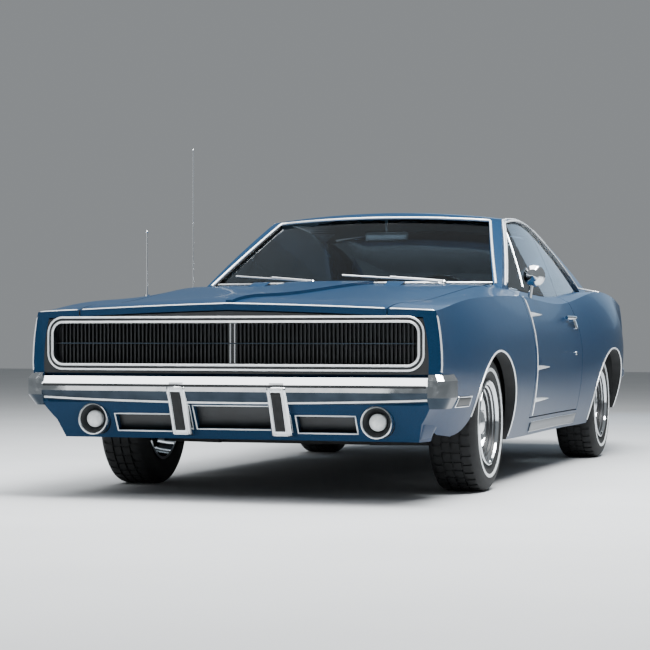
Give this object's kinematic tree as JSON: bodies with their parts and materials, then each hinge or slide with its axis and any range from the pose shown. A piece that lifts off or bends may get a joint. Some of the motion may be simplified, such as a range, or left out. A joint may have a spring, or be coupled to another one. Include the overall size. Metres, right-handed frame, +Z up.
{
  "type": "two-door fastback muscle car",
  "caption": "Two-door fastback hardtop muscle car with full-width grille, chrome bumpers, opening doors, hood and deck lid, steered front wheels and a furnished cabin.",
  "frame": {"origin": "on the ground under the middle of the car's length and width", "axes": "+X towards the front, +Y towards the car's left, +Z up"},
  "size_m": [5.2796, 1.956, 1.6518],
  "materials": {
    "body_paint": "gloss slate-blue enamel",
    "chrome": "polished chrome plate",
    "glass": "tinted glass",
    "black_trim": "satin black",
    "lamp_lens": "clear ribbed lens",
    "tail_lens": "red lens",
    "under_paint": "satin black chassis paint",
    "engine_paint": "painted casting",
    "exhaust_steel": "aluminised steel",
    "seat_vinyl": "grained vinyl",
    "tyre": "black rubber",
    "wheel_chrome": "chromed steel"
  },
  "bodies": {
    "chassis": {"aerials": "chrome", "back_window": "glass", "cabin_mirror": "black_trim", "cowl": "body_paint", "dashboard": "black_trim", "driveshaft": "under_paint", "engine": "engine_paint", "exhaust": "exhaust_steel", "fender_left": "body_paint", "fender_right": "body_paint", "floor_pan": "under_paint", "front_bumper": "chrome", "front_lamps": "lamp_lens", "front_seats": "seat_vinyl", "front_structure": "under_paint", "front_suspension": "under_paint", "front_valance": "body_paint", "fuel_tank": "under_paint", "grille": "black_trim", "grille_surround": "black_trim", "leaf_springs": "under_paint", "quarter_left": "body_paint", "quarter_right": "body_paint", "quarter_windows": "glass", "rear_axle": "under_paint", "rear_bumper": "chrome", "rear_seat": "seat_vinyl", "rear_shelf_panel": "body_paint", "rear_wheelhouses": "under_paint", "roof": "body_paint", "sills": "body_paint", "tail_lamps": "tail_lens", "tail_panel": "body_paint", "windshield": "glass", "wipers": "chrome"},
    "door_left": {"door_left": "body_paint", "door_glass_left": "glass", "door_mirror": "chrome"},
    "door_right": {"door_right": "body_paint", "door_glass_right": "glass"},
    "hood": {"hood": "body_paint"},
    "deck_lid": {"deck_lid": "body_paint"},
    "steering_wheel": {"steering_wheel": "black_trim"},
    "knuckle_left": {"knuckle_left": "under_paint"},
    "knuckle_right": {"knuckle_right": "under_paint"},
    "steering_link": {"steering_link": "under_paint"},
    "wheel_front_left": {"wheel_front_left": "wheel_chrome", "tyre_front_left": "tyre"},
    "wheel_front_right": {"wheel_front_right": "wheel_chrome", "tyre_front_right": "tyre"},
    "wheel_rear_left": {"wheel_rear_left": "wheel_chrome", "tyre_rear_left": "tyre"},
    "wheel_rear_right": {"wheel_rear_right": "wheel_chrome", "tyre_rear_right": "tyre"}
  },
  "joints": [
    {"name": "door_left_hinge", "type": "hinge", "parent": "chassis", "child": "door_left", "pos_m": [0.69, 0.892, 0.6], "axis": [0, 0, -1], "range_deg": [0, 62]},
    {"name": "door_right_hinge", "type": "hinge", "parent": "chassis", "child": "door_right", "pos_m": [0.69, -0.892, 0.6], "axis": [0, 0, 1], "range_deg": [0, 62]},
    {"name": "hood_hinge", "type": "hinge", "parent": "chassis", "child": "hood", "pos_m": [1.046, 0, 0.936], "axis": [0, -1, 0], "range_deg": [0, 55]},
    {"name": "deck_lid_hinge", "type": "hinge", "parent": "chassis", "child": "deck_lid", "pos_m": [-1.58, 0, 0.95], "axis": [0, 1, 0], "range_deg": [0, 60]},
    {"name": "knuckle_left_steer", "type": "hinge", "parent": "chassis", "child": "knuckle_left", "pos_m": [1.59, 0.65, 0.312], "axis": [0, 0, 1], "range_deg": [-32, 32]},
    {"name": "knuckle_right_steer", "type": "hinge", "parent": "chassis", "child": "knuckle_right", "pos_m": [1.59, -0.65, 0.312], "axis": [0, 0, 1], "range_deg": [-32, 32]},
    {"name": "steering_wheel_turn", "type": "hinge", "parent": "chassis", "child": "steering_wheel", "pos_m": [0.345, 0.375, 0.835], "axis": [-0.9135, 0, 0.4067], "range_deg": [-576, 576]},
    {"name": "steering_link_slide", "type": "slide", "parent": "chassis", "child": "steering_link", "axis": [0, 1, 0], "range_m": [-0.069, 0.069]},
    {"name": "wheel_front_left_spin", "type": "hinge", "parent": "knuckle_left", "child": "wheel_front_left", "pos_m": [1.59, 0.79, 0.312], "axis": [0, 1, 0], "continuous": true},
    {"name": "wheel_front_right_spin", "type": "hinge", "parent": "knuckle_right", "child": "wheel_front_right", "pos_m": [1.59, -0.79, 0.312], "axis": [0, 1, 0], "continuous": true},
    {"name": "wheel_rear_left_spin", "type": "hinge", "parent": "chassis", "child": "wheel_rear_left", "pos_m": [-1.31, 0.79, 0.312], "axis": [0, 1, 0], "continuous": true},
    {"name": "wheel_rear_right_spin", "type": "hinge", "parent": "chassis", "child": "wheel_rear_right", "pos_m": [-1.31, -0.79, 0.312], "axis": [0, 1, 0], "continuous": true}
  ],
  "couplings": [
    {"joint": "knuckle_right_steer", "follows": "knuckle_left_steer", "ratio": 1},
    {"joint": "steering_wheel_turn", "follows": "knuckle_left_steer", "ratio": 18},
    {"joint": "steering_link_slide", "follows": "knuckle_left_steer", "m_per_rad": -0.12335}
  ]
}
